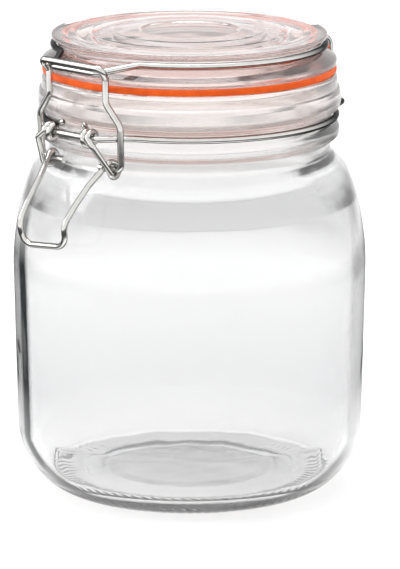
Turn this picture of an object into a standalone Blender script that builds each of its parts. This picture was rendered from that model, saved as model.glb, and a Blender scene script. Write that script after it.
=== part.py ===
"""Clip-top canning jar, one litre: a round glass jar, a glass lid on a rubber ring, and a wire closure.

The latch is towards -Y and the hinge towards +Y. The jar stands on z = 0. The origin is the middle of the
whole outline, handle included, so the jar's own axis stands a little behind it, at y = AXIS_Y.
Lengths below are in millimetres and angles in degrees.
"""

import math

import bmesh
import bpy
from mathutils import Vector

MM = 0.001
SEGMENTS = 44
AXIS_Y = 4.7
GAP = 0.3

# Jar body
BODY_R = 57.2
BODY_FOOT_R = 56.0
HEEL_TOP_Z = 20.6
HEEL_SQUARENESS = 1.75
STANDING_RING_R = (35.0, 38.1)
PUNT_R = 29.5
PUNT_DEPTH = 2.6
SHOULDER_Z = 74.6
SHOULDER_SQUARENESS = 1.77
NECK_R = 45.6
NECK_Z = 111.6
NECK_HEIGHT = 4.0
WALL = 4.0
INNER_NECK_Z = 103.0
INNER_SHOULDER_Z = 70.0
FLOOR_Z = 6.8
FLOOR_R = 43.0
FLOOR_RISE = 0.9

# Jar finish, from the neck up
LOWER_BEAD_R = 48.6
LOWER_BEAD_Z = 119.7
WIRE_Z = 123.4
COLLAR_R = 49.0
COLLAR_Z = 128.2
STEP_Z = 132.4
RIM_R = 47.8
RIM_TOP_Z = 137.0
MOUTH_R = 41.7

# Rubber ring
GASKET_R = (40.6, 47.5)
GASKET_THICKNESS = 2.1
GASKET_Z = RIM_TOP_Z + GAP

# Lid
FLANGE_Z = GASKET_Z + GASKET_THICKNESS + GAP
FLANGE_R = 47.5
FLANGE_EDGE = 1.8
WAIST_R = 42.5
LID_RIM_R = 44.5
LID_RIM_Z = 149.3
LID_TOP_Z = 149.9
LID_CROWN_Z = 150.8
LID_DISC_R = 15.8
LID_UNDER_Z = 144.4
LID_UNDER_R = 29.0
PLUG_R = 38.1
PLUG_Z = 135.5

# Wires
WIRE_R = 1.05
LEVER_WIRE_R = 0.95
WIRE_SIDES = 2
NECK_RING_R = NECK_R + 1.8
LID_WIRE_R = WAIST_R + GAP + WIRE_R
LID_WIRE_Z = 146.4

# Closure: places across the latch (t), out from the jar's axis (rho) and up (z)
LEVER_PIVOT = (53.0, WIRE_Z)
LINK_PIVOT = (48.3, 113.5)
HINGE = (50.2, WIRE_Z)
FRONT_ROD_T = 11.2
BACK_ROD_T = 20.5
COIL_T = 7.3
COIL_WIDTH = 2.6
LOOP_T = (15.4, 13.1)
NOSE = (51.35, 144.1)
NOSE_T = 9.8
LINK_BAR = (52.9, 146.2)
ARM_T = 16.6
HANDLE_FOOT = (64.6, 89.4)
HANDLE_SKEW = 0.9
STUB_END_T = 8.3


def curve_points(count, first, last, path):
    """Points of path(u) for u from first to last."""
    return [path(first + (last - first) * i / (count - 1)) for i in range(count)]


def quarter(start, end, squareness, count):
    """A quarter of a superellipse that leaves start level and reaches end upright."""

    def at(u):
        across = math.sin(u) ** (2 / squareness)
        up = 1 - math.cos(u) ** (2 / squareness)
        return (start[0] + (end[0] - start[0]) * across, start[1] + (end[1] - start[1]) * up)

    return curve_points(count, 0, math.pi / 2, at)


def arc(centre, radius, first, last, count):
    """Points of a circular arc in the outline's plane, from angle first to last."""

    def at(degrees):
        a = math.radians(degrees)
        return (centre[0] + radius * math.cos(a), centre[1] + radius * math.sin(a))

    return curve_points(count, first, last, at)


def material(name, colour, roughness, metallic=0.0, alpha=1.0):
    made = bpy.data.materials.new(name)
    made.use_nodes = True
    shader = made.node_tree.nodes["Principled BSDF"]
    shader.inputs["Base Color"].default_value = (*colour, 1)
    shader.inputs["Roughness"].default_value = roughness
    shader.inputs["Metallic"].default_value = metallic
    shader.inputs["Alpha"].default_value = alpha
    return made


def empty(name, place, parent=None):
    """An empty on a joint's axis; place is in millimetres from the jar's foot."""
    made = bpy.data.objects.new(name, None)
    made.empty_display_size = 0.01
    bpy.context.collection.objects.link(made)
    made.parent = parent
    made.location = Vector(place) * MM
    return made


def put(obj, parent, pivot):
    """Hangs an object from its joint's empty and brings it back to the jar's own axis."""
    bpy.context.collection.objects.link(obj)
    obj.parent = parent
    obj.location = -Vector(pivot) * MM
    return obj


def turned(name, outline, finish, parent, pivot, closed=False):
    """A solid of revolution. A closed outline is a ring; an open one starts and ends on the axis."""
    mesh = bpy.data.meshes.new(name)
    bm = bmesh.new()
    points = [bm.verts.new((r * MM, 0, z * MM)) for r, z in outline]
    pairs = list(zip(points, points[1:]))
    if closed:
        pairs.append((points[-1], points[0]))
    edges = [bm.edges.new(pair) for pair in pairs]
    bmesh.ops.spin(
        bm,
        geom=points + edges,
        cent=(0, 0, 0),
        axis=(0, 0, 1),
        angle=math.tau,
        steps=SEGMENTS,
        use_merge=True,
    )
    bmesh.ops.remove_doubles(bm, verts=bm.verts, dist=1e-6)
    bmesh.ops.recalc_face_normals(bm, faces=bm.faces)
    bm.to_mesh(mesh)
    bm.free()
    mesh.shade_smooth()
    mesh.set_sharp_from_angle(angle=math.radians(35))
    mesh.materials.append(finish)
    return put(bpy.data.objects.new(name, mesh), parent, pivot)


def rounded(points, radii, closed=False):
    """The path through points with each corner rounded to its radius, as a list of vectors."""
    count = len(points)
    path = []
    for i, (point, radius) in enumerate(zip(points, radii)):
        here = Vector(point)
        if radius == 0 or (not closed and i in (0, count - 1)):
            path.append(here)
            continue
        back = (Vector(points[i - 1]) - here).normalized()
        ahead = (Vector(points[(i + 1) % count]) - here).normalized()
        half = back.angle(ahead) / 2
        middle = here + (back + ahead).normalized() * (radius / math.sin(half))
        reach = radius / math.tan(half)
        start, end = here + back * reach, here + ahead * reach
        turn = math.pi - 2 * half
        steps = max(2, math.ceil(math.degrees(turn) / 24))
        first, last = start - middle, end - middle
        for k in range(steps + 1):
            share = k / steps
            along = first * math.sin((1 - share) * turn) + last * math.sin(share * turn)
            path.append(middle + along / math.sin(turn))
    return path


def helix(centre, radius, first, last, from_t, to_t, count, side=-1):
    """A coil round an axis along X. Angles run from straight out, through up. side is -1 at the latch."""

    def at(u):
        a = math.radians(first + (last - first) * u)
        out = centre[0] + radius * math.cos(a)
        up = centre[1] + radius * math.sin(a)
        return Vector((from_t + (to_t - from_t) * u, side * out, up))

    return curve_points(count, 0, 1, at)


def at_latch(t, rho, z):
    return Vector((t, -rho, z))


def at_hinge(t, rho, z):
    return Vector((t, rho, z))


def mirrored(half):
    """A path whose right half is given from its middle outwards, with its left half before it."""
    left = [Vector((-p.x, p.y, p.z)) for p in reversed(half)]
    if half[0].x < 1e-6:
        left.pop()
    return left + half


def wire(name, path, radius, finish, parent, pivot, cyclic=False):
    """Round wire along a path, as a bevelled curve with filled ends."""
    data = bpy.data.curves.new(name, "CURVE")
    data.dimensions = "3D"
    data.bevel_depth = radius * MM
    data.bevel_resolution = WIRE_SIDES
    data.use_fill_caps = True
    spline = data.splines.new("POLY")
    spline.points.add(len(path) - 1)
    for point, place in zip(spline.points, path):
        point.co = (*(place * MM), 1)
    spline.use_cyclic_u = cyclic
    data.materials.append(finish)
    return put(bpy.data.objects.new(name, data), parent, pivot)


def jar_outline():
    """The jar's section: under the base, up the outside, over the rim and down the inside."""
    ring_in, ring_out = STANDING_RING_R
    base = [(0, PUNT_DEPTH), (PUNT_R * 0.6, PUNT_DEPTH * 0.92), (PUNT_R, PUNT_DEPTH * 0.6)]
    base += [(ring_in - 1.2, 0.5), (ring_in, 0)]
    heel = quarter((ring_out, 0), (BODY_FOOT_R, HEEL_TOP_Z), HEEL_SQUARENESS, 9)
    shoulder = quarter((NECK_R, NECK_Z), (BODY_R, SHOULDER_Z), SHOULDER_SQUARENESS, 10)[::-1]
    neck_top = NECK_Z + NECK_HEIGHT
    lower_bead = [(NECK_R, neck_top), (NECK_R + 0.7, neck_top + 0.8)]
    lower_bead += arc((LOWER_BEAD_R - 2.1, LOWER_BEAD_Z), 2.1, -60, 48, 5)
    groove_r = NECK_RING_R - WIRE_R - GAP
    groove_half = WIRE_R + GAP + 0.15
    groove = [(groove_r + 0.5, WIRE_Z - groove_half), (groove_r, WIRE_Z - 0.7)]
    groove += [(groove_r, WIRE_Z + 0.7), (groove_r + 0.5, WIRE_Z + groove_half)]
    collar = [(COLLAR_R - 1.4, WIRE_Z + 1.9), (COLLAR_R - 0.5, WIRE_Z + 3.0), (COLLAR_R, COLLAR_Z)]
    collar += [(COLLAR_R - 0.3, STEP_Z - 1.4), (COLLAR_R - 0.7, STEP_Z), (RIM_R, STEP_Z + 0.4)]
    rim = [(RIM_R - 0.1, RIM_TOP_Z - 2.2)]
    rim += arc((RIM_R - 1.8, RIM_TOP_Z - 1.6), 1.6, 20, 90, 4)
    rim += arc((MOUTH_R + 1.2, RIM_TOP_Z - 1.2), 1.2, 90, 180, 4)
    inner_shoulder = quarter(
        (MOUTH_R - 0.2, INNER_NECK_Z), (BODY_R - WALL, INNER_SHOULDER_Z), SHOULDER_SQUARENESS, 8
    )
    inner_heel = quarter(
        (FLOOR_R, FLOOR_Z), (BODY_FOOT_R - WALL, HEEL_TOP_Z + 1), HEEL_SQUARENESS, 7
    )[::-1]
    floor = [(PUNT_R, FLOOR_Z + 0.1), (PUNT_R - 2.5, FLOOR_Z + FLOOR_RISE), (0, FLOOR_Z + FLOOR_RISE)]
    return base + heel + shoulder + lower_bead + groove + collar + rim + inner_shoulder + inner_heel + floor


def lid_outline():
    """The lid's section: under the plug, out to the flange, up the waist, over the rim and the top."""
    under = [(0, LID_UNDER_Z), (LID_UNDER_R, LID_UNDER_Z - 0.4), (LID_UNDER_R + 2.4, LID_UNDER_Z - 2.2)]
    under += [(LID_UNDER_R + 3.4, PLUG_Z + 0.8), (LID_UNDER_R + 4.2, PLUG_Z)]
    under += [(PLUG_R - 0.8, PLUG_Z), (PLUG_R, PLUG_Z + 0.8), (PLUG_R + 0.4, FLANGE_Z - 0.3)]
    under += [(PLUG_R + 0.8, FLANGE_Z)]
    flange = [(FLANGE_R - 0.5, FLANGE_Z), (FLANGE_R, FLANGE_Z + 0.5), (FLANGE_R, FLANGE_Z + FLANGE_EDGE)]
    flange += [(FLANGE_R - 0.6, FLANGE_Z + FLANGE_EDGE + 0.5), (WAIST_R + 0.7, LID_WIRE_Z - 1.6)]
    waist = [(WAIST_R, LID_WIRE_Z - 1.0), (WAIST_R, LID_WIRE_Z + 1.0), (WAIST_R + 0.6, LID_WIRE_Z + 1.6)]
    rim = [(LID_RIM_R - 0.4, LID_RIM_Z - 0.7), (LID_RIM_R, LID_RIM_Z - 0.2)]
    rim += [(LID_RIM_R - 0.2, LID_RIM_Z + 0.3), (LID_RIM_R - 0.9, LID_TOP_Z)]
    top = [(37.0, LID_TOP_Z + 0.3), (33.0, LID_TOP_Z + 0.4), (31.5, LID_TOP_Z)]
    top += [(30.0, LID_TOP_Z + 0.4), (20.0, LID_CROWN_Z), (LID_DISC_R, LID_CROWN_Z)]
    top += [(LID_DISC_R - 0.8, LID_CROWN_Z - 0.6), (0, LID_CROWN_Z - 0.6)]
    return under + flange + waist + rim + top


def gasket_outline():
    inner, outer = GASKET_R
    top = GASKET_Z + GASKET_THICKNESS
    middle = GASKET_Z + GASKET_THICKNESS / 2
    edge = [(outer - 0.4, GASKET_Z), (outer, middle), (outer - 0.4, top)]
    return [(inner, GASKET_Z), *edge, (inner, top)]


def ring_arc(radius, z, first, last, count):
    """Points of a level ring, by angle from the latch, on the right-hand side."""

    def at(degrees):
        a = math.radians(degrees)
        return Vector((radius * math.sin(a), -radius * math.cos(a), z))

    return curve_points(count, first, last, at)


def neck_wire_path():
    """A closed ring in the neck's groove, bowed out to a straight rod at the latch and at the hinge."""
    front_join, back_join = 23, 146
    front = [at_latch(0, *LEVER_PIVOT), at_latch(FRONT_ROD_T, *LEVER_PIVOT)]
    front += ring_arc(NECK_RING_R, WIRE_Z, front_join, front_join + 8, 2)
    front = rounded(front, [0, 2.5, 3.0, 0])
    side = ring_arc(NECK_RING_R, WIRE_Z, front_join + 16, back_join - 16, 14)
    back = ring_arc(NECK_RING_R, WIRE_Z, back_join - 8, back_join, 2)
    back += [at_hinge(BACK_ROD_T, *HINGE), at_hinge(0, *HINGE)]
    back = rounded(back, [0, 3.0, 2.5, 0])
    right = front + side + back
    left = [Vector((-p.x, p.y, p.z)) for p in reversed(right[1:-1])]
    return right + left


def lid_wire_path():
    """One wire: nose at the latch, round the lid's waist, and down at the back into two hinge eyes."""
    front_join = 24
    back_join = 180 - math.degrees(math.asin(ARM_T / LID_WIRE_R))
    nose = [at_latch(0, *NOSE), at_latch(NOSE_T, *NOSE)]
    nose += ring_arc(LID_WIRE_R, LID_WIRE_Z, front_join, front_join + 8, 2)
    nose = rounded(nose, [0, 2.5, 3.0, 0])
    side = ring_arc(LID_WIRE_R, LID_WIRE_Z, front_join + 16, back_join - 16, 15)
    eye_r = WIRE_R + GAP + WIRE_R
    eye = helix(HINGE, eye_r, 172, 440, ARM_T, ARM_T - 2.4, 14, side=1)
    arm = ring_arc(LID_WIRE_R, LID_WIRE_Z, back_join - 8, back_join, 2)
    arm += [at_hinge(ARM_T, 47.8, 143.8), at_hinge(ARM_T, 49.7, 131.0), eye[0]]
    arm = rounded(arm, [0, 2.0, 3.0, 6.0, 0])
    return mirrored(nose + side + arm[:-1] + eye)


def lever_path():
    """One wire: the handle, a loop round each end of the link, an arm and a coil on the neck wire."""
    foot = at_latch(0, *HANDLE_FOOT)
    loop_r = WIRE_R + GAP + LEVER_WIRE_R
    loop = helix(LINK_PIVOT, loop_r, 47, 337, LOOP_T[1], LOOP_T[0], 14)
    leg = [foot, at_latch(9.7, *HANDLE_FOOT), at_latch(10.1, 66.2, 96.6), at_latch(10.5, 61.9, 102.4)]
    leg += [at_latch(11.0, 56.4, 108.6), loop[0]]
    leg = rounded(leg, [0, 4.4, 6.2, 12.0, 6.0, 0])
    coil_r = WIRE_R + GAP + LEVER_WIRE_R
    coil = helix(LEVER_PIVOT, coil_r, 90, -350, COIL_T, COIL_T + COIL_WIDTH, 20)[::-1]
    arm = [loop[-1], at_latch(12.5, 55.5, 121.6), coil[0]]
    arm = rounded(arm, [0, 1.4, 0])
    tip = [at_latch(4.6, 51.6, 127.0)]
    right = leg[:-1] + loop + arm[1:-1] + coil + tip
    path = mirrored(right)
    for point in path:
        low = max(0.0, min(1.0, (108.0 - point.z) / 14.0))
        point.z += HANDLE_SKEW * low * point.x / 9.7
    return path


def link_path():
    """One wire: the bar over the lid wire's nose, legs that step out round the coils, and two stubs."""
    bar_rho, bar_z = LINK_BAR
    half = [at_latch(0, bar_rho, bar_z), at_latch(14.0, bar_rho, bar_z), at_latch(12.9, 50.2, 142.6)]
    half += [at_latch(12.8, 50.0, 134.6), at_latch(18.3, 49.1, 128.0), at_latch(17.9, *LINK_PIVOT)]
    half += [at_latch(STUB_END_T, *LINK_PIVOT)]
    return mirrored(rounded(half, [0, 1.9, 1.5, 3.0, 4.0, 2.4, 0]))


def clear_scene():
    for obj in list(bpy.data.objects):
        bpy.data.objects.remove(obj, do_unlink=True)


def build():
    clear_scene()
    glass = material("clear_glass", (0.93, 0.95, 0.95), 0.02, alpha=0.35)
    rubber = material("orange_rubber", (0.86, 0.16, 0.02), 0.55)
    steel = material("bright_steel", (0.72, 0.72, 0.70), 0.18, metallic=1.0)

    foot = empty("jar_foot", (0, AXIS_Y, 0))
    hinge_place = at_hinge(0, *HINGE)
    lever_place = at_latch(0, *LEVER_PIVOT)
    link_place = at_latch(0, *LINK_PIVOT)
    hinge = empty("lid_hinge_axis", hinge_place, foot)
    lever = empty("lever_axis", lever_place, foot)
    link = empty("link_axis", link_place - lever_place, lever)

    turned("jar_glass", jar_outline(), glass, foot, (0, 0, 0))
    wire("neck_wire", neck_wire_path(), WIRE_R, steel, foot, (0, 0, 0), cyclic=True)
    turned("lid_glass", lid_outline(), glass, hinge, hinge_place)
    turned("gasket", gasket_outline(), rubber, hinge, hinge_place, closed=True)
    wire("lid_wire", lid_wire_path(), WIRE_R, steel, hinge, hinge_place)
    wire("lever", lever_path(), LEVER_WIRE_R, steel, lever, lever_place)
    wire("link", link_path(), WIRE_R, steel, link, link_place)


build()
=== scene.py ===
"""Looks of the clip-top canning jar: clear moulded glass, an orange rubber ring and bright steel wire.

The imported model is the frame. The glass, the ring and the wires are modelled again here, smooth and with
the detail that shows, and each stands for the CAD node of its name. Lengths below are in millimetres and
angles in degrees, measured from the jar's own axis, with the latch towards -Y and the hinge towards +Y.
"""

import math

import bmesh
import bpy
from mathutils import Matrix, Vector


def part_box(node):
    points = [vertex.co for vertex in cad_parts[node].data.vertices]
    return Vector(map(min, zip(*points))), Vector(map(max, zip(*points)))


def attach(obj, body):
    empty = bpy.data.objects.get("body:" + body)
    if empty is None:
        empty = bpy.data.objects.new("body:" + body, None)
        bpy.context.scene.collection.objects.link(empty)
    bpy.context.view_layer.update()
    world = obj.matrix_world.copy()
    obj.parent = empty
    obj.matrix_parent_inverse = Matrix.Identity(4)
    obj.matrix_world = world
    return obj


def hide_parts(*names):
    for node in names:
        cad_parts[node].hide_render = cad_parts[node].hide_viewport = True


MM = 0.001

# Jar body
BODY_R = 57.2
BODY_FOOT_R = 56.0
HEEL_TOP_Z = 20.6
HEEL_SQUARENESS = 1.75
STANDING_RING_R = (35.0, 38.1)
PUNT_R = 29.5
PUNT_DEPTH = 2.6
SHOULDER_Z = 74.6
SHOULDER_SQUARENESS = 1.77
NECK_R = 45.6
NECK_Z = 111.6
NECK_HEIGHT = 4.0
WALL = 4.0
INNER_NECK_Z = 103.0
INNER_SHOULDER_Z = 70.0
FLOOR_Z = 6.8
FLOOR_R = 43.0
FLOOR_RISE = 0.25
FLOOR_RIDGE_R = 44.6
FLOOR_RIDGE = 0.6
FLOOR_RIDGE_WIDTH = 0.45
NECK_BLEND = 5.0
INNER_BLEND = 7.0

# Jar finish, from the neck up
LOWER_BEAD_R = 48.6
LOWER_BEAD_Z = 119.7
WIRE_Z = 123.4
COLLAR_R = 49.0
COLLAR_Z = 128.2
STEP_Z = 132.4
RIM_R = 47.8
RIM_TOP_Z = 137.0
MOUTH_R = 41.7

# Rubber ring
GAP = 0.3
GASKET_R = (40.6, 47.5)
GASKET_THICKNESS = 2.1
GASKET_Z = RIM_TOP_Z + GAP

# Lid
FLANGE_Z = GASKET_Z + GASKET_THICKNESS + GAP
FLANGE_R = 47.5
FLANGE_EDGE = 1.8
WAIST_R = 42.5
LID_RIM_R = 44.5
LID_RIM_Z = 149.3
LID_TOP_Z = 149.9
LID_CROWN_Z = 150.8
LID_DISC_R = 15.8
LID_UNDER_Z = 144.4
LID_UNDER_R = 29.0
PLUG_R = 38.1
PLUG_Z = 135.5
LID_GROOVES_R = (24.5, 31.5, 36.6, 39.2, 41.4)
LID_GROOVE_DEPTH = 0.12
LID_GROOVE_WIDTH = 0.45
LID_CROWN_R = 36.0
LID_CROWN_RUN = 14.0
LID_DISC_DEPTH = 0.75
LID_DISC_EDGE = 0.28
LID_TOP_STEPS = 150

# Wires
WIRE_R = 1.05
LEVER_WIRE_R = 0.95
NECK_RING_R = NECK_R + 1.8
LID_WIRE_R = WAIST_R + GAP + WIRE_R
LID_WIRE_Z = 146.4
BEND_R = (0, 2.5, 3.0, 0)

# Closure: places across the latch (t), out from the jar's axis (rho) and up (z)
LEVER_PIVOT = (53.0, WIRE_Z)
LINK_PIVOT = (48.3, 113.5)
HINGE = (50.2, WIRE_Z)
FRONT_ROD_T = 11.2
BACK_ROD_T = 20.5
COIL_T = 7.3
COIL_WIDTH = 2.6
LOOP_T = (15.4, 13.1)
NOSE = (51.35, 144.1)
NOSE_T = 9.8
LINK_BAR = (52.9, 146.2)
ARM_T = 16.6
HANDLE_FOOT = (64.6, 89.4)
HANDLE_HALF_T = 9.7
HANDLE_SKEW = 0.9
HANDLE_SKEW_TOP_Z = 108.0
HANDLE_SKEW_RUN = 14.0
LEVER_LEG = ((10.1, 66.2, 96.6), (10.5, 61.9, 102.4), (11.0, 56.4, 108.6))
LEVER_ARM = (12.5, 55.5, 121.6)
LEVER_TIP = (4.6, 51.6, 127.0)
LINK_LEG = ((12.9, 50.2, 142.6), (12.8, 50.0, 134.6), (18.3, 49.1, 128.0))
LINK_BAR_T = 14.0
LINK_FOOT_T = 17.9
STUB_END_T = 8.3
HINGE_ARM = ((47.8, 143.8), (49.7, 131.0))
EYE_WIDTH = 2.4

# Fineness of the meshes
KNURLS = 88
SEGMENTS = KNURLS * 6
LID_SEGMENTS = 256
RING_SEGMENTS = 192
TURN_STEP = 7
WIRE_ROUNDNESS = 6

# Two rows of moulded marks at the foot: height of the row, its half height and its depth
KNURL_TOP_Z = 5.2
KNURL_UPPER = (3.4, 1.5, 0.7)
KNURL_LOWER = (0.8, 1.0, 0.9)
KNURL_SLANT = 0.25

# Glass: its colour by height, with painted light and shade (a lighter base and shoulder) and a painted
# orange reflection of the rubber ring near it. Then painted shade: how dark the wall goes by how edge on
# it is seen, and at which heights. The side vector below is the side of the jar that is painted darkest.
GLASS_IOR = 1.5
BODY_TINT = (0.78, 0.78, 0.785)
# Painted light by height: a lighter base and shoulder, and a painted orange reflection of the rubber ring
# from the collar up
JAR_TONES_AND_PAINTED_LIGHT = [
    (0, (0.98, 0.98, 0.98)),
    (26, BODY_TINT),
    (36, BODY_TINT),
    (84, (0.87, 0.87, 0.87)),
    (108, (0.82, 0.82, 0.82)),
    (124, (0.86, 0.825, 0.81)),
    (137, (0.93, 0.83, 0.80)),
]
# Painted light on the lid: a painted orange reflection of the rubber ring, and a darker painted shade band
# under the lid wire
LID_TONES_AND_PAINTED_LIGHT = [
    (136, (0.98, 0.90, 0.88)),
    (141.2, (0.98, 0.90, 0.88)),
    (142.8, (0.52, 0.34, 0.31)),
    (145.3, (0.52, 0.34, 0.31)),
    (146.4, (1.0, 0.935, 0.92)),
    (150, (1.0, 0.95, 0.94)),
]
# Painted shade: how far the wall's colour goes to the dark tone by how edge on it is seen
EDGE_BAND = [
    (0.60, 0.0),
    (0.655, 1.0),
    (0.74, 1.0),
    (0.78, 0.75),
    (0.9, 0.6),
    (0.96, 0.3),
    (1.0, 0.15),
]
# Where the painted edge shade reaches by height, and the heel painted dark all round
EDGE_HEIGHTS = [(0.0, 0.9), (12.0, 1.0), (92.0, 1.0), (106.0, 0.15), (150.0, 0.0)]
HEEL_HEIGHTS = [(0.0, 1.0), (14.0, 0.9), (26.0, 0.0)]

# The middle of the wall's thickness, as a radius by height: what lies beyond it is the outer face
WALL_MIDDLE = [
    (0.0, 36.0),
    (5.5, 36.0),
    (6.8, 47.5),
    (8.0, 48.3),
    (12.0, 51.5),
    (17.0, 53.4),
    (22.0, 54.1),
    (75.0, 55.2),
    (90.0, 53.0),
    (100.0, 49.5),
    (108.0, 46.0),
]
WALL_MIDDLE_BLEND = 0.3
# Painted shade: the side painted darkest, the dark tone, and the painted dark streaks and their weight
PAINTED_SHADE_SIDE = (-12.0, -12.0, 0.0)
PAINTED_EDGE_SHADE_TONE = (0.001, 0.0013, 0.0014)
STREAK_STRETCH = (60, 60, 14)
STREAK_WEIGHT = 1.3
EDGE_WEIGHT_FROM = (0.1, 1.3)
EDGE_WEIGHT_LEAST = 0.45
RIPPLE = (60, 1.5, 0.14, 0.002)
SHADOW_TONE = (0.82, 0.82, 0.82)
DEPTH_TONE = (0.72, 0.78, 0.77)
JAR_DENSITY = 4
LID_DENSITY = 0.5

# How hazy the glass is, by height: the moulded finish blurs what is behind it
HAZE = [
    (0.0, 0.25),
    (4.5, 0.2),
    (7.0, 0.0),
    (62.0, 0.0),
    (82.0, 0.08),
    (104.0, 0.13),
    (117.0, 0.16),
    (137.0, 0.16),
    (142.0, 0.10),
    (150.0, 0.08),
]

# The studio's brightness from the ground (0.5) to overhead (1.0)
SKY = [(0.50, 1.0), (0.60, 0.98), (0.68, 0.92), (0.80, 0.84), (0.90, 0.9), (1.0, 0.92)]

# A dark card on the ground, seen in reflections only: its inner and outer radius in metres, and its tones
DARK_CARD_R = (0.09, 0.8)
CARD_TONES = [(0.10, 0.92), (0.17, 0.04), (0.42, 0.04), (0.62, 0.92)]

CARD_SEGMENTS = 96

# Rubber and steel
RUBBER_TONES = ((0.68, 0.082, 0.003), (0.79, 0.11, 0.004))
STEEL_TONES = ((0.72, 0.71, 0.68), (0.92, 0.91, 0.88))
# Painted dark reflection: the steel's colour by how edge on it is seen
STEEL_PAINTED_EDGE_SHADE = ((0.30, (1, 1, 1)), (0.72, (0.10, 0.10, 0.105)))
STEEL_ROUGHNESS = (0.10, 0.24)

# Lamps: name, place in metres, size and power
SOFTBOXES = (("overhead", (-0.25, 0.1, 1.3), 0.9, 11), ("left", (-0.9, -0.9, 0.7), 0.6, 6))
LAMP_AIM_Z = 70
FLOOR_TONE = (0.92, 0.92, 0.92)

# Camera, from the photograph
CAMERA_AZIMUTH = 45
CAMERA_REACH = 1648
CAMERA_HEIGHT = 437.75
CAMERA_PITCH = 12.696
CAMERA_YAW = 0.118
FOCAL_MM = 328.4
SENSOR_MM = 36


def turns(count):
    """Angles of count even steps round a circle."""
    return [math.tau * i / count for i in range(count)]


def curve_points(count, first, last, path):
    """Points of path(u) for u from first to last."""
    return [path(first + (last - first) * i / (count - 1)) for i in range(count)]


def quarter(start, end, squareness, count):
    """A quarter of a superellipse that leaves start level and reaches end upright."""

    def at(u):
        across = math.sin(u) ** (2 / squareness)
        up = 1 - math.cos(u) ** (2 / squareness)
        return (start[0] + (end[0] - start[0]) * across, start[1] + (end[1] - start[1]) * up)

    return curve_points(count, 0, math.pi / 2, at)


def filleted(points, radii, step=12):
    """An outline with each corner rounded to its radius."""
    path = rounded([Vector((r, 0, z)) for r, z in points], radii, step=step)
    return [(p.x, p.z) for p in path]


def rounded(points, radii, closed=False, step=TURN_STEP):
    """The path through points with each corner rounded to its radius, as a list of vectors."""
    count = len(points)
    path = []
    for i, (point, radius) in enumerate(zip(points, radii)):
        here = Vector(point)
        if radius == 0 or (not closed and i in (0, count - 1)):
            path.append(here)
            continue
        back = (Vector(points[i - 1]) - here).normalized()
        ahead = (Vector(points[(i + 1) % count]) - here).normalized()
        half = back.angle(ahead) / 2
        middle = here + (back + ahead).normalized() * (radius / math.sin(half))
        reach = radius / math.tan(half)
        start, end = here + back * reach, here + ahead * reach
        turn = math.pi - 2 * half
        steps = max(2, math.ceil(math.degrees(turn) / step))
        first, last = start - middle, end - middle
        for k in range(steps + 1):
            share = k / steps
            along = first * math.sin((1 - share) * turn) + last * math.sin(share * turn)
            path.append(middle + along / math.sin(turn))
    return path


def helix(centre, radius, first, last, from_t, to_t, side=-1):
    """A coil round an axis along X. Angles run from straight out, through up. side is -1 at the latch."""
    count = 2 + round(abs(last - first) / TURN_STEP)

    def at(u):
        a = math.radians(first + (last - first) * u)
        out = centre[0] + radius * math.cos(a)
        up = centre[1] + radius * math.sin(a)
        return Vector((from_t + (to_t - from_t) * u, side * out, up))

    return curve_points(count, 0, 1, at)


def at_latch(t, rho, z):
    return Vector((t, -rho, z))


def at_hinge(t, rho, z):
    return Vector((t, rho, z))


def ring_arc(radius, z, first, last, count):
    """Points of a level ring, by angle from the latch, on the right-hand side."""

    def at(degrees):
        a = math.radians(degrees)
        return Vector((radius * math.sin(a), -radius * math.cos(a), z))

    return curve_points(count, first, last, at)


def mirrored(half):
    """A path whose right half is given from its middle outwards, with its left half before it."""
    left = [Vector((-p.x, p.y, p.z)) for p in reversed(half)]
    if half[0].x < 1e-6:
        left.pop()
    return left + half


# Outlines of the turned pieces


def hump(r, middle, width):
    """A bell of height 1 at the middle radius."""
    return math.exp(-(((r - middle) / width) ** 2))


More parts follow.
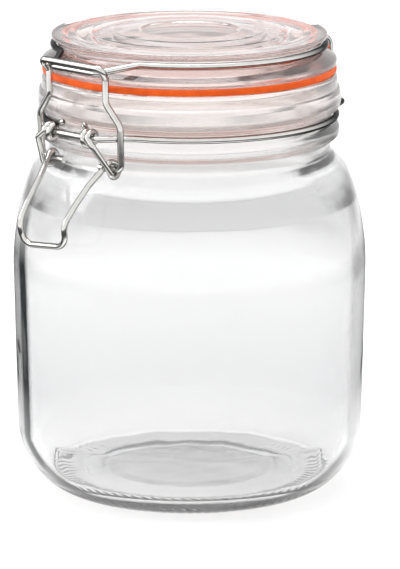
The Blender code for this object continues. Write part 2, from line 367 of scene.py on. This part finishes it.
def jar_outline():
    """The jar's section: under the base, up the outside, over the rim and down the inside."""
    ring_in, ring_out = STANDING_RING_R
    base = [(0, PUNT_DEPTH), (PUNT_R * 0.5, PUNT_DEPTH - 0.02)]
    base += [(PUNT_R - 2.0, PUNT_DEPTH - 0.15), (ring_in - 1.2, 0.6), (ring_in, 0)]
    base = filleted(base, [0, 40.0, 6.0, 1.5, 0], step=2)
    heel = quarter((ring_out, 0), (BODY_FOOT_R, HEEL_TOP_Z), HEEL_SQUARENESS, 40)
    wall = curve_points(8, 0, 1, body_side)[1:-1]
    shoulder = quarter((NECK_R, NECK_Z), (BODY_R, SHOULDER_Z), SHOULDER_SQUARENESS, 60)[::-1]
    shoulder = [point for point in shoulder if point[0] > NECK_R + NECK_BLEND]
    neck_top = NECK_Z + NECK_HEIGHT
    groove_r = NECK_RING_R - WIRE_R - GAP
    groove_half = WIRE_R + GAP + 0.15
    bead_foot = LOWER_BEAD_Z - 3.1
    finish = [shoulder[-1], (NECK_R, NECK_Z), (NECK_R, neck_top), (LOWER_BEAD_R - 0.3, bead_foot + 0.4)]
    finish += [(LOWER_BEAD_R, LOWER_BEAD_Z), (groove_r + 0.6, WIRE_Z - groove_half)]
    finish += [(groove_r, WIRE_Z - 0.7), (groove_r, WIRE_Z + 0.7), (groove_r + 0.5, WIRE_Z + groove_half)]
    finish += [(COLLAR_R - 0.6, WIRE_Z + 2.6), (COLLAR_R, COLLAR_Z), (COLLAR_R - 0.25, STEP_Z - 1.2)]
    finish += [(COLLAR_R - 0.6, STEP_Z), (RIM_R, STEP_Z + 0.5), (RIM_R - 0.1, RIM_TOP_Z - 2.0)]
    corners = [0, 2.8, 0.9, 1.6, 2.0, 0.6, 0.5, 0.5, 0.6, 1.4, 3.0, 1.0, 0.4, 0.4, 0]
    finish = filleted(finish, corners, step=6)
    rim = [(RIM_R - 0.1, RIM_TOP_Z - 1.9), (RIM_R - 0.1, RIM_TOP_Z), (MOUTH_R, RIM_TOP_Z)]
    rim += [(MOUTH_R, RIM_TOP_Z - 4)]
    rim = filleted(rim, [0, 1.6, 1.2, 0])
    bore = (MOUTH_R - 0.2, INNER_NECK_Z)
    inner_shoulder = quarter(bore, (BODY_R - WALL, INNER_SHOULDER_Z), SHOULDER_SQUARENESS, 60)
    inner_shoulder = [point for point in inner_shoulder if point[0] > bore[0] + INNER_BLEND]
    bore_turn = filleted([(MOUTH_R - 0.1, RIM_TOP_Z - 6), bore, inner_shoulder[0]], [0, 7.0, 0], step=4)
    inner_heel = quarter(
        (FLOOR_R, FLOOR_Z), (BODY_FOOT_R - WALL, HEEL_TOP_Z + 1), HEEL_SQUARENESS, 90
    )[::-1]
    inner_heel = [(r, z + FLOOR_RIDGE * hump(r, FLOOR_RIDGE_R, FLOOR_RIDGE_WIDTH)) for r, z in inner_heel]
    floor = [(FLOOR_R - 1.0, FLOOR_Z), (PUNT_R, FLOOR_Z + 0.05), (PUNT_R - 4.0, FLOOR_Z + FLOOR_RISE)]
    floor = filleted(floor + [(0, FLOOR_Z + FLOOR_RISE)], [0, 20.0, 20.0, 0], step=1)
    inside = bore_turn[:-1] + inner_shoulder + inner_heel + floor
    return base + heel + wall + shoulder[:-1] + finish + rim + inside


def body_side(u):
    """A point of the straight outer wall, from the heel to the shoulder."""
    return (BODY_FOOT_R + (BODY_R - BODY_FOOT_R) * u, HEEL_TOP_Z + (SHOULDER_Z - HEEL_TOP_Z) * u)


def lid_outline():
    """The lid's section: under the plug, out to the flange, up the waist, over the rim and the top."""
    under = [(0, LID_UNDER_Z), (LID_UNDER_R, LID_UNDER_Z - 0.4), (LID_UNDER_R + 2.6, LID_UNDER_Z - 2.6)]
    under += [(LID_UNDER_R + 3.6, PLUG_Z), (PLUG_R, PLUG_Z), (PLUG_R + 0.8, FLANGE_Z)]
    flange = [(FLANGE_R, FLANGE_Z), (FLANGE_R, FLANGE_Z + FLANGE_EDGE + 0.3)]
    waist = [(WAIST_R + 0.4, LID_WIRE_Z - 1.5), (WAIST_R, LID_WIRE_Z), (WAIST_R + 0.6, LID_WIRE_Z + 1.7)]
    rim = [(LID_RIM_R, LID_RIM_Z - 0.6), (LID_RIM_R - 0.1, LID_TOP_Z)]
    edge = filleted(
        under + flange + waist + rim + [(LID_RIM_R - 3, LID_TOP_Z + 0.1)],
        [0, 3.0, 2.0, 0.9, 0.9, 0.5, 0.6, 0.7, 2.0, 1.0, 1.2, 0.5, 0.5, 0],
        step=9,
    )
    start = LID_RIM_R - 3.1
    top = [lid_top_point(start - start * i / LID_TOP_STEPS) for i in range(LID_TOP_STEPS + 1)]
    return edge + top


def lid_top_point(r):
    """A point of the lid's top: a low crown, pressed rings and a recessed disc in the middle."""
    crown = (LID_CROWN_Z - LID_TOP_Z) * min(1.0, max(0.0, (LID_CROWN_R - r) / LID_CROWN_RUN))
    z = LID_TOP_Z + crown
    for groove in LID_GROOVES_R:
        z -= LID_GROOVE_DEPTH * hump(r, groove, LID_GROOVE_WIDTH)
    recess = 1 / (1 + math.exp((r - LID_DISC_R) / LID_DISC_EDGE))
    return (r, min(z - LID_DISC_DEPTH * recess, LID_CROWN_Z))


def gasket_outline():
    inner, outer = GASKET_R
    top = GASKET_Z + GASKET_THICKNESS
    corners = [(inner, GASKET_Z), (outer, GASKET_Z), (outer, top), (inner, top)]
    path = rounded([Vector((r, 0, z)) for r, z in corners], [0.4, 0.85, 0.85, 0.4], closed=True, step=12)
    return [(p.x, p.z) for p in path]


# Paths of the wires


def neck_wire_path():
    """A closed ring in the neck's groove, bowed out to a straight rod at the latch and at the hinge."""
    front_join, back_join = 23, 146
    front = [at_latch(0, *LEVER_PIVOT), at_latch(FRONT_ROD_T, *LEVER_PIVOT)]
    front += ring_arc(NECK_RING_R, WIRE_Z, front_join, front_join + 8, 2)
    front = rounded(front, BEND_R)
    side = ring_arc(NECK_RING_R, WIRE_Z, front_join + 10, back_join - 10, 40)
    back = ring_arc(NECK_RING_R, WIRE_Z, back_join - 8, back_join, 2)
    back += [at_hinge(BACK_ROD_T, *HINGE), at_hinge(0, *HINGE)]
    back = rounded(back, BEND_R[::-1])
    right = front + side + back
    left = [Vector((-p.x, p.y, p.z)) for p in reversed(right[1:-1])]
    return right + left


def lid_wire_path():
    """One wire: nose at the latch, round the lid's waist, and down at the back into two hinge eyes."""
    front_join = 24
    back_join = 180 - math.degrees(math.asin(ARM_T / LID_WIRE_R))
    nose = [at_latch(0, *NOSE), at_latch(NOSE_T, *NOSE)]
    nose += ring_arc(LID_WIRE_R, LID_WIRE_Z, front_join, front_join + 8, 2)
    nose = rounded(nose, BEND_R)
    side = ring_arc(LID_WIRE_R, LID_WIRE_Z, front_join + 10, back_join - 10, 40)
    eye_r = WIRE_R + GAP + WIRE_R
    eye = helix(HINGE, eye_r, 172, 440, ARM_T, ARM_T - EYE_WIDTH, side=1)
    arm = ring_arc(LID_WIRE_R, LID_WIRE_Z, back_join - 8, back_join, 2)
    arm += [at_hinge(ARM_T, *bend) for bend in HINGE_ARM] + [eye[0]]
    arm = rounded(arm, [0, 2.0, 3.0, 6.0, 0])
    return mirrored(nose + side + arm[:-1] + eye)


def lever_path():
    """One wire: the handle, a loop round each end of the link, an arm and a coil on the neck wire."""
    coil_r = WIRE_R + GAP + LEVER_WIRE_R
    loop = helix(LINK_PIVOT, coil_r, 47, 337, LOOP_T[1], LOOP_T[0])
    leg = [at_latch(0, *HANDLE_FOOT), at_latch(HANDLE_HALF_T, *HANDLE_FOOT)]
    leg += [at_latch(*bend) for bend in LEVER_LEG] + [loop[0]]
    leg = rounded(leg, [0, 4.4, 6.2, 12.0, 6.0, 0])
    coil = helix(LEVER_PIVOT, coil_r, 90, -350, COIL_T, COIL_T + COIL_WIDTH)[::-1]
    arm = rounded([loop[-1], at_latch(*LEVER_ARM), coil[0]], [0, 1.4, 0])
    path = mirrored(leg[:-1] + loop + arm[1:-1] + coil + [at_latch(*LEVER_TIP)])
    for point in path:
        low = max(0.0, min(1.0, (HANDLE_SKEW_TOP_Z - point.z) / HANDLE_SKEW_RUN))
        point.z += HANDLE_SKEW * low * point.x / HANDLE_HALF_T
    return path


def link_path():
    """One wire: the bar over the lid wire's nose, legs that step out round the coils, and two stubs."""
    half = [at_latch(0, *LINK_BAR), at_latch(LINK_BAR_T, *LINK_BAR)]
    half += [at_latch(*bend) for bend in LINK_LEG]
    half += [at_latch(LINK_FOOT_T, *LINK_PIVOT), at_latch(STUB_END_T, *LINK_PIVOT)]
    return mirrored(rounded(half, [0, 1.9, 1.5, 3.0, 4.0, 2.4, 0]))


# Making pieces


def link_to_scene(obj):
    bpy.context.scene.collection.objects.link(obj)
    return obj


def turned(name, outline, finish, segments, warp=None, closed=False):
    """A solid of revolution round the jar's axis. warp(angle, r, z) may move a point by its angle."""
    mesh = bpy.data.meshes.new(name)
    bm = bmesh.new()
    rings = []
    for r, z in outline:
        if r < 1e-6:
            rings.append([bm.verts.new((0, AXIS_Y * MM, z * MM))])
            continue
        ring = []
        for i in range(segments):
            a = math.tau * i / segments
            rr, zz = warp(a, r, z) if warp else (r, z)
            ring.append(bm.verts.new((rr * MM * math.cos(a), (rr * math.sin(a) + AXIS_Y) * MM, zz * MM)))
        rings.append(ring)
    pairs = list(zip(rings, rings[1:]))
    if closed:
        pairs.append((rings[-1], rings[0]))
    for low, high in pairs:
        for i in range(segments):
            j = (i + 1) % segments
            if len(low) == 1:
                bm.faces.new((low[0], high[i], high[j]))
            elif len(high) == 1:
                bm.faces.new((low[i], low[j], high[0]))
            else:
                bm.faces.new((low[i], low[j], high[j], high[i]))
    bmesh.ops.recalc_face_normals(bm, faces=bm.faces)
    bm.to_mesh(mesh)
    bm.free()
    mesh.shade_smooth()
    mesh.materials.append(finish)
    return link_to_scene(bpy.data.objects.new(name, mesh))


def wire(name, path, radius, finish, cyclic=False):
    """Round wire along a path, as a bevelled curve with filled ends."""
    data = bpy.data.curves.new(name, "CURVE")
    data.dimensions = "3D"
    data.bevel_depth = radius * MM
    data.bevel_resolution = WIRE_ROUNDNESS
    data.use_fill_caps = True
    spline = data.splines.new("POLY")
    spline.points.add(len(path) - 1)
    for point, place in zip(spline.points, path):
        point.co = (*((place + Vector((0, AXIS_Y, 0))) * MM), 1)
    spline.use_cyclic_u = cyclic
    spline.use_smooth = True
    data.materials.append(finish)
    return link_to_scene(bpy.data.objects.new(name, data))


def place_piece(piece, body, node):
    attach(piece, body)
    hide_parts(node)


# Materials


def new_material(name):
    """A material, its node tree and its Principled shader."""
    made = bpy.data.materials.new(name)
    made.use_nodes = True
    return made, made.node_tree, made.node_tree.nodes["Principled BSDF"]


def add_node(tree, kind, values=None, **settings):
    """A node with its settings, and constant values for its inputs by name or number."""
    node = tree.nodes.new(kind)
    for key, value in settings.items():
        setattr(node, key, value)
    for key, value in (values or {}).items():
        node.inputs[key].default_value = value
    return node


def math_node(tree, operation, *operands):
    """The result of a Math node. Each operand is an output to link, or a number."""
    node = add_node(tree, "ShaderNodeMath", operation=operation)
    for socket, operand in zip(node.inputs, operands):
        if isinstance(operand, (int, float)):
            socket.default_value = operand
        else:
            tree.links.new(operand, socket)
    return node.outputs["Value"]


def colour_ramp(tree, stops, source):
    """The colour of a ramp with a stop for each (position, colour), read at the source's value."""
    ramp = add_node(tree, "ShaderNodeValToRGB")
    elements = ramp.color_ramp.elements
    while len(elements) < len(stops):
        elements.new(0.5)
    for element, (position, colour) in zip(elements, stops):
        element.position = position
        element.color = (*colour, 1)
    tree.links.new(source, ramp.inputs["Fac"])
    return ramp.outputs["Color"]


def grey_ramp(tree, stops, source):
    return colour_ramp(tree, [(at, (tone, tone, tone)) for at, tone in stops], source)


def by_height(stops):
    """Stops given at heights in mm, as shares of the whole height."""
    return [(z / LID_CROWN_Z, value) for z, value in stops]


def outer_face(tree, place, height):
    """1 on the outside of the jar's wall and 0 on its inside, by distance from the axis."""
    off_axis = add_node(tree, "ShaderNodeVectorMath", {1: (0, AXIS_Y * MM, 0)}, operation="SUBTRACT")
    level = add_node(tree, "ShaderNodeVectorMath", {1: (1, 1, 0)}, operation="MULTIPLY")
    radius = add_node(tree, "ShaderNodeVectorMath", operation="LENGTH")
    tree.links.new(place, off_axis.inputs[0])
    tree.links.new(off_axis.outputs["Vector"], level.inputs[0])
    tree.links.new(level.outputs["Vector"], radius.inputs[0])
    shares = [(at, r / BODY_R) for at, r in by_height(WALL_MIDDLE)]
    middle = grey_ramp(tree, shares, height)
    beyond = math_node(tree, "MULTIPLY_ADD", middle, -BODY_R * MM, radius.outputs["Value"])
    blend = {"From Min": -WALL_MIDDLE_BLEND * MM, "From Max": WALL_MIDDLE_BLEND * MM}
    outside = add_node(tree, "ShaderNodeMapRange", blend)
    tree.links.new(beyond, outside.inputs["Value"])
    return outside.outputs["Result"]


def painted_dark_side(tree, place):
    """How dark the painted edge shade is round the jar: painted darkest on the side the side vector points
    to, with painted dark streaks.
    """
    side = add_node(tree, "ShaderNodeVectorMath", {1: PAINTED_SHADE_SIDE}, operation="DOT_PRODUCT")
    tree.links.new(place, side.inputs[0])
    stretch = add_node(tree, "ShaderNodeMapping", {"Scale": STREAK_STRETCH})
    streaks = add_node(tree, "ShaderNodeTexNoise", {"Scale": 1.0, "Detail": 2.0})
    tree.links.new(place, stretch.inputs["Vector"])
    tree.links.new(stretch.outputs["Vector"], streaks.inputs["Vector"])
    lean = math_node(tree, "MULTIPLY_ADD", streaks.outputs["Fac"], STREAK_WEIGHT, side.outputs["Value"])
    low, high = EDGE_WEIGHT_FROM
    weight = add_node(
        tree, "ShaderNodeMapRange", {"From Min": low, "From Max": high, "To Min": EDGE_WEIGHT_LEAST}
    )
    tree.links.new(lean, weight.inputs["Value"])
    return weight.outputs["Result"]


def painted_edge_shade(tree, place, height):
    """How far the glass's colour goes to the painted dark tone: painted shade where its outer wall is seen
    nearly edge on.
    """
    facing = add_node(tree, "ShaderNodeLayerWeight", {"Blend": 0.5})
    band = grey_ramp(tree, EDGE_BAND, facing.outputs["Facing"])
    reach = grey_ramp(tree, by_height(EDGE_HEIGHTS), height)
    heel = grey_ramp(tree, by_height(HEEL_HEIGHTS), height)
    darkest = math_node(tree, "MAXIMUM", painted_dark_side(tree, place), heel)
    outer_wall = math_node(tree, "MULTIPLY", reach, outer_face(tree, place, height))
    wall_share = math_node(tree, "MULTIPLY", darkest, outer_wall)
    return math_node(tree, "MULTIPLY", band, wall_share)


def glass_material(name, tones_and_painted_light, density):
    """Clear glass that lets the lamps' light through to the floor.

    The tones by height give its colour up the jar, with painted light and shade by height and a painted
    orange reflection of the rubber ring near it.
    """
    made, tree, shader = new_material(name)
    links = tree.links
    shader.inputs["IOR"].default_value = GLASS_IOR
    shader.inputs["Transmission Weight"].default_value = 1.0
    place = add_node(tree, "ShaderNodeTexCoord").outputs["Object"]
    split = add_node(tree, "ShaderNodeSeparateXYZ")
    links.new(place, split.inputs["Vector"])
    rise = add_node(tree, "ShaderNodeMapRange", {"From Max": LID_CROWN_Z * MM})
    links.new(split.outputs["Z"], rise.inputs["Value"])
    height = rise.outputs["Result"]

    # Painted shade: the colour goes to the dark tone where the outer wall is seen nearly edge on
    mix = add_node(tree, "ShaderNodeMix", data_type="RGBA")
    mix.inputs["B"].default_value = (*PAINTED_EDGE_SHADE_TONE, 1)
    links.new(painted_edge_shade(tree, place, height), mix.inputs["Factor"])
    links.new(colour_ramp(tree, by_height(tones_and_painted_light), height), mix.inputs["A"])
    links.new(mix.outputs["Result"], shader.inputs["Base Color"])
    links.new(grey_ramp(tree, by_height(HAZE), height), shader.inputs["Roughness"])

    scale, detail, strength, distance = RIPPLE
    ripple = add_node(tree, "ShaderNodeTexNoise", {"Scale": scale, "Detail": detail})
    bump = add_node(tree, "ShaderNodeBump", {"Strength": strength, "Distance": distance})
    links.new(place, ripple.inputs["Vector"])
    links.new(ripple.outputs["Fac"], bump.inputs["Height"])
    links.new(bump.outputs["Normal"], shader.inputs["Normal"])

    output = tree.nodes["Material Output"]
    path = add_node(tree, "ShaderNodeLightPath")
    clear_way = add_node(tree, "ShaderNodeBsdfTransparent", {"Color": (*SHADOW_TONE, 1)})
    through = add_node(tree, "ShaderNodeMixShader")
    links.new(path.outputs["Is Shadow Ray"], through.inputs["Fac"])
    links.new(shader.outputs["BSDF"], through.inputs[1])
    links.new(clear_way.outputs["BSDF"], through.inputs[2])
    links.new(through.outputs["Shader"], output.inputs["Surface"])
    depth = {"Color": (*DEPTH_TONE, 1), "Density": density}
    absorption = add_node(tree, "ShaderNodeVolumeAbsorption", depth)
    links.new(absorption.outputs["Volume"], output.inputs["Volume"])
    return made


def rubber_material():
    """Orange rubber: even colour with faint moulding specks, and a soft sheen."""
    made, tree, shader = new_material("orange_rubber")
    links = tree.links
    shader.inputs["Roughness"].default_value = 0.5
    shader.inputs["Specular IOR Level"].default_value = 0.2
    shader.inputs["Subsurface Weight"].default_value = 0.15
    shader.inputs["Subsurface Scale"].default_value = 0.002
    place = add_node(tree, "ShaderNodeTexCoord")
    specks = add_node(tree, "ShaderNodeTexNoise", {"Scale": 260, "Detail": 3})
    bump = add_node(tree, "ShaderNodeBump", {"Strength": 0.15, "Distance": 0.0002})
    links.new(place.outputs["Object"], specks.inputs["Vector"])
    stops = list(zip((0.35, 0.65), RUBBER_TONES))
    links.new(colour_ramp(tree, stops, specks.outputs["Fac"]), shader.inputs["Base Color"])
    links.new(specks.outputs["Fac"], bump.inputs["Height"])
    links.new(bump.outputs["Normal"], shader.inputs["Normal"])
    return made


def steel_material():
    """Bright drawn steel wire with faint handling marks. Its colour is painted darker where it is seen
    edge on: a painted dark reflection.
    """
    made, tree, shader = new_material("bright_steel")
    links = tree.links
    shader.inputs["Metallic"].default_value = 1.0
    shader.inputs["Specular Tint"].default_value = (0.4, 0.4, 0.4, 1)
    place = add_node(tree, "ShaderNodeTexCoord")
    marks = add_node(tree, "ShaderNodeTexNoise", {"Scale": 420, "Detail": 4})
    links.new(place.outputs["Object"], marks.inputs["Vector"])
    smooth, rough = STEEL_ROUGHNESS
    gloss = add_node(tree, "ShaderNodeMapRange", {"To Min": smooth, "To Max": rough})
    links.new(marks.outputs["Fac"], gloss.inputs["Value"])
    links.new(gloss.outputs["Result"], shader.inputs["Roughness"])
    # Painted dark reflection: the colour darkens where the wire is seen edge on
    rim = add_node(tree, "ShaderNodeLayerWeight", {"Blend": 0.5})
    tone = add_node(tree, "ShaderNodeMix", data_type="RGBA", blend_type="MULTIPLY")
    tone.inputs["Factor"].default_value = 1.0
    stops = list(zip((0.0, 1.0), STEEL_TONES))
    links.new(colour_ramp(tree, stops, marks.outputs["Fac"]), tone.inputs["A"])
    links.new(colour_ramp(tree, STEEL_PAINTED_EDGE_SHADE, rim.outputs["Facing"]), tone.inputs["B"])
    links.new(tone.outputs["Result"], shader.inputs["Base Color"])
    return made


def matt_material(name):
    """A matt finish without gloss, for the stage."""
    made, tree, shader = new_material(name)
    shader.inputs["Roughness"].default_value = 0.9
    shader.inputs["Specular IOR Level"].default_value = 0.0
    return made, tree, shader


# Details that depend on the angle


def knurl(angle, r, z):
    """The jar's standing ring and heel carry two rows of small moulded marks."""
    if r > STANDING_RING_R[1] - 0.2 and z < KNURL_TOP_Z:
        turn = angle * KNURLS / math.tau
        upper_z, upper_half, upper_depth = KNURL_UPPER
        lower_z, lower_half, lower_depth = KNURL_LOWER
        upper = max(0.0, 1 - abs(z - upper_z) / upper_half)
        lower = max(0.0, 1 - abs(z - lower_z) / lower_half)
        slant = (turn + (z - upper_z) * KNURL_SLANT) % 1.0
        mark = max(0.0, 1 - abs(slant - 0.5) * 4)
        notch = max(0.0, 1 - abs(turn % 1.0 - 0.5) * 3)
        r -= upper_depth * upper * mark + lower_depth * lower * notch
    return (r, z)


# The stage


def studio():
    """A pale floor, a soft overhead light, a softer light from the left, and a plain studio round them."""
    bpy.ops.mesh.primitive_plane_add(size=8, location=(0, 0, -0.0002))
    floor = bpy.context.object
    floor.name = "pale_floor"
    finish, _, shader = matt_material("pale_floor")
    shader.inputs["Base Color"].default_value = (*FLOOR_TONE, 1)
    floor.data.materials.append(finish)
    add_dark_card()

    world = bpy.data.worlds.new("studio")
    bpy.context.scene.world = world
    world.use_nodes = True
    tree = world.node_tree
    background = tree.nodes["Background"]
    place = add_node(tree, "ShaderNodeTexCoord")
    split = add_node(tree, "ShaderNodeSeparateXYZ")
    raised = add_node(tree, "ShaderNodeMapRange", {"From Min": -1, "From Max": 1})
    tree.links.new(place.outputs["Generated"], split.inputs["Vector"])
    tree.links.new(split.outputs["Z"], raised.inputs["Value"])
    tree.links.new(grey_ramp(tree, SKY, raised.outputs["Result"]), background.inputs["Color"])
    background.inputs["Strength"].default_value = 1.0

    for name, place, size, power in SOFTBOXES:
        add_softbox(name, place, size, power)
    bpy.context.scene.view_settings.view_transform = "Standard"


def add_dark_card():
    """A dark card round the jar's foot, seen in reflections only, for the edges of glass and steel."""
    mesh = bpy.data.meshes.new("dark_card")
    bm = bmesh.new()
    rings = [
        [bm.verts.new((r * math.cos(a), r * math.sin(a), 0)) for a in turns(CARD_SEGMENTS)]
        for r in DARK_CARD_R
    ]
    for i in range(CARD_SEGMENTS):
        j = (i + 1) % CARD_SEGMENTS
        bm.faces.new((rings[0][i], rings[1][i], rings[1][j], rings[0][j]))
    bm.to_mesh(mesh)
    bm.free()
    card = link_to_scene(bpy.data.objects.new("dark_card", mesh))
    finish, tree, shader = matt_material("dark_card")
    place = add_node(tree, "ShaderNodeTexCoord")
    reach = add_node(tree, "ShaderNodeVectorMath", operation="LENGTH")
    tree.links.new(place.outputs["Object"], reach.inputs[0])
    tree.links.new(grey_ramp(tree, CARD_TONES, reach.outputs["Value"]), shader.inputs["Base Color"])
    card.data.materials.append(finish)
    card.visible_camera = False
    card.visible_diffuse = False
    card.visible_transmission = False
    card.visible_shadow = False


def add_softbox(name, place, size, power):
    """A square soft light that faces the jar's middle."""
    data = bpy.data.lights.new(name, "AREA")
    data.shape = "SQUARE"
    data.size = size
    data.energy = power
    lamp = link_to_scene(bpy.data.objects.new(name, data))
    lamp.location = place
    aim = Vector((0, AXIS_Y, LAMP_AIM_Z)) * MM - lamp.location
    lamp.rotation_euler = aim.to_track_quat("-Z", "Y").to_euler()
    lamp.visible_transmission = False


def add_camera():
    data = bpy.data.cameras.new("camera")
    data.sensor_fit = "AUTO"
    data.sensor_width = SENSOR_MM
    data.lens = FOCAL_MM
    data.clip_end = 20
    camera = link_to_scene(bpy.data.objects.new("camera", data))
    side = math.radians(CAMERA_AZIMUTH)
    x = CAMERA_REACH * math.sin(side)
    y = AXIS_Y - CAMERA_REACH * math.cos(side)
    camera.location = Vector((x, y, CAMERA_HEIGHT)) * MM
    tilt = math.radians(90 - CAMERA_PITCH)
    camera.rotation_euler = (tilt, 0, math.radians(CAMERA_AZIMUTH - CAMERA_YAW))
    bpy.context.scene.camera = camera


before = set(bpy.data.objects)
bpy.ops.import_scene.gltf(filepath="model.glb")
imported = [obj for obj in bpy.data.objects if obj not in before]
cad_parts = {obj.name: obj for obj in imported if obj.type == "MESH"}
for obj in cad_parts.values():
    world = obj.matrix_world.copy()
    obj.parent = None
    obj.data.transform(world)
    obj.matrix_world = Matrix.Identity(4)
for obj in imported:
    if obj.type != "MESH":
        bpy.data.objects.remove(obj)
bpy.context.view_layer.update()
lid_low, lid_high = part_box("lid_glass")
AXIS_Y = (lid_low[1] + lid_high[1]) / 2 / MM  # the jar's own axis stands behind the origin

jar_finish = glass_material("jar_glass_finish", JAR_TONES_AND_PAINTED_LIGHT, JAR_DENSITY)
lid_finish = glass_material("lid_glass_finish", LID_TONES_AND_PAINTED_LIGHT, LID_DENSITY)
steel = steel_material()
rubber = rubber_material()

jar = turned("clear_jar", jar_outline(), jar_finish, SEGMENTS, warp=knurl)
lid = turned("clear_lid", lid_outline(), lid_finish, LID_SEGMENTS)
ring = turned("rubber_ring", gasket_outline(), rubber, RING_SEGMENTS, closed=True)
place_piece(jar, "jar", "jar_glass")
place_piece(lid, "lid", "lid_glass")
place_piece(ring, "lid", "gasket")

neck_wire = wire("neck_wire_round", neck_wire_path(), WIRE_R, steel, cyclic=True)
lid_wire = wire("lid_wire_round", lid_wire_path(), WIRE_R, steel)
lever = wire("lever_round", lever_path(), LEVER_WIRE_R, steel)
link = wire("link_round", link_path(), WIRE_R, steel)
place_piece(neck_wire, "jar", "neck_wire")
place_piece(lid_wire, "lid", "lid_wire")
place_piece(lever, "lever", "lever")
place_piece(link, "link", "link")

studio()
add_camera()
